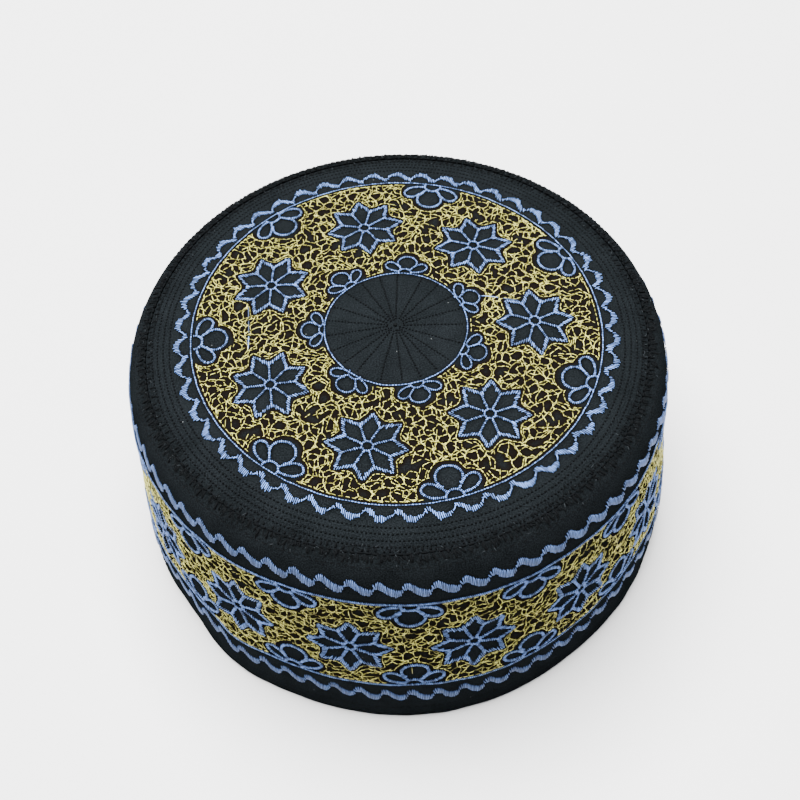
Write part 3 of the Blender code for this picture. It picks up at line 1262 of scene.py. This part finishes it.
def add_camera():
    """The camera looks at the middle of the crown, turned so that it falls on its pixel in the photo."""
    lens = bpy.data.cameras.new("camera")
    lens.sensor_width = SENSOR
    lens.lens = FOCAL_PIXELS * SENSOR / FRAME_PIXELS
    camera = bpy.data.objects.new("camera", lens)
    bpy.context.scene.collection.objects.link(camera)
    rise = math.radians(CAMERA_ELEVATION)
    ahead = Vector((0.0, math.cos(rise), -math.sin(rise)))
    down = Vector((0.0, -math.sin(rise), -math.cos(rise)))
    base = Matrix(((1.0, 0.0, 0.0), down, ahead))
    across, below = (pixel - FRAME_PIXELS / 2 for pixel in APEX_PIXEL)
    aim = Vector((across, below, FOCAL_PIXELS)).normalized()
    yaw = Matrix.Rotation(math.atan2(aim.x, aim.z), 3, "Y")
    pitch = Matrix.Rotation(-math.asin(aim.y), 3, "X")
    roll = Matrix.Rotation(math.radians(CAMERA_ROLL), 3, "Z")
    axes = (yaw @ pitch @ roll) @ base
    turned = Matrix((axes[0], -axes[1], -axes[2])).transposed()
    place = Vector((0.0, 0.0, CAP_HEIGHT * MM)) - ahead * CAMERA_DISTANCE * MM
    camera.matrix_world = Matrix.Translation(place) @ turned.to_4x4()
    bpy.context.scene.camera = camera


FLOOR_REACH = 1.2
FLOOR_SIDES = 96


def add_floor():
    """A wide round floor, pale, with a faint grain."""
    material, tree, shader = new_material("pale_floor", (0.90, 0.90, 0.90), 0.8)
    grain = node(tree, "ShaderNodeTexNoise", inputs={"Scale": 40.0, "Detail": 4.0}).outputs["Fac"]
    tree.links.new(mapped(tree, grain, 0.0, 1.0, 0.88, 0.92), shader.inputs["Base Color"])
    shader.inputs["Specular IOR Level"].default_value = 0.1
    mesh = bpy.data.meshes.new("floor")
    corners = polar(FLOOR_REACH, TURN * np.arange(FLOOR_SIDES) / FLOOR_SIDES)
    mesh.from_pydata([(x, y, 0.0) for x, y in corners.tolist()], [], [tuple(range(FLOOR_SIDES))])
    mesh.materials.append(material)
    floor = bpy.data.objects.new("floor", mesh)
    bpy.context.scene.collection.objects.link(floor)


def add_light(name, place, aim, size, power):
    light = bpy.data.lights.new(name, "AREA")
    light.size = size
    light.energy = power
    lamp = bpy.data.objects.new(name, light)
    lamp.location = place
    lamp.rotation_euler = (Vector(aim) - Vector(place)).to_track_quat("-Z", "Y").to_euler()
    bpy.context.scene.collection.objects.link(lamp)


def add_studio():
    world = bpy.data.worlds.new("studio")
    bpy.context.scene.world = world
    world.use_nodes = True
    back = world.node_tree.nodes["Background"]
    back.inputs["Color"].default_value = (1.0, 1.0, 1.0, 1.0)
    seen = node(world.node_tree, "ShaderNodeLightPath").outputs["Is Camera Ray"]
    strength = mapped(world.node_tree, seen, 0.0, 1.0, 0.15, 2.8)
    world.node_tree.links.new(strength, back.inputs["Strength"])
    add_light("soft_box", place=(-0.16, 0.25, 1.7), aim=(0.0, 0.0, 0.05), size=1.3, power=190.0)


# The kinds of thread, in the order in which they are sewn: how hard the stitches press the cloth, how
# much of their tone the tips keep, the rest being painted shade where they dive into the cloth, and at
# which share of its length a stitch has its full size
THREADS = (
    ("blue", 0.30, (0.7, 0.16)),
    ("gold", 0.30, (0.0, 0.27)),
    ("dark", 0.03, (1.0, 0.16)),
)

# The range of tones of each kind of thread on each cloth. The blue and gold are kept darker on the band
# than on the crown: in part the threads' own tone, in part painted shade for the wall, which gets less
# light than the top.
CROWN_SHADES = ((0.0, 1.0), (0.15, 1.0), (0.0, 0.0))
BAND_SHADES = ((0.0, 0.7), (0.0, 1.0), (0.0, 0.04))


def sew(side, cloth, embroider, shades, materials):
    """Lay one cloth's stitches, press them into it, and make a piece of each kind of thread."""
    kinds = [Stitches(cloth, span, ends) for span, (_, _, ends) in zip(shades, THREADS)]
    embroider(*kinds)
    for stitches, (_, amount, _) in zip(kinds, THREADS):
        stitches.press(cloth.relief, amount)
    cloth.relief.settle(reach=0.55)
    # The gold threads lay the painted warm shadow of the nets into the cloth
    gold = kinds[1]
    gold.press(cloth.gold_shadow, amount=0.5)
    cloth.gold_shadow.settle(reach=0.9)
    pieces = []
    for stitches, material, (kind, _, _) in zip(kinds, materials, THREADS):
        piece = stitch_mesh(f"{side}_{kind}_stitches", stitches, material)
        pieces.append(piece)
    return pieces


def main():
    add_camera()
    add_floor()
    add_studio()
    slate = cloth_material("slate_cloth", CLOTH, CLOTH_WORN)
    materials = (
        thread_material("blue_thread", BLUE, BLUE_PALE, roughness=0.45, gloss=0.18),
        thread_material("gold_thread", GOLD, GOLD_PALE, roughness=0.45, gloss=0.4),
        thread_material("black_thread", BLACK, BLACK_PALE, roughness=0.9, gloss=0.05),
    )
    on_crown = sew("crown", crown_cloth, crown_embroidery, CROWN_SHADES, materials)
    on_band = sew("band", band_cloth, band_embroidery, BAND_SHADES, materials)
    crown = crown_piece(slate)
    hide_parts("crown")
    band = band_piece(slate)
    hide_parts("side_band")


main()
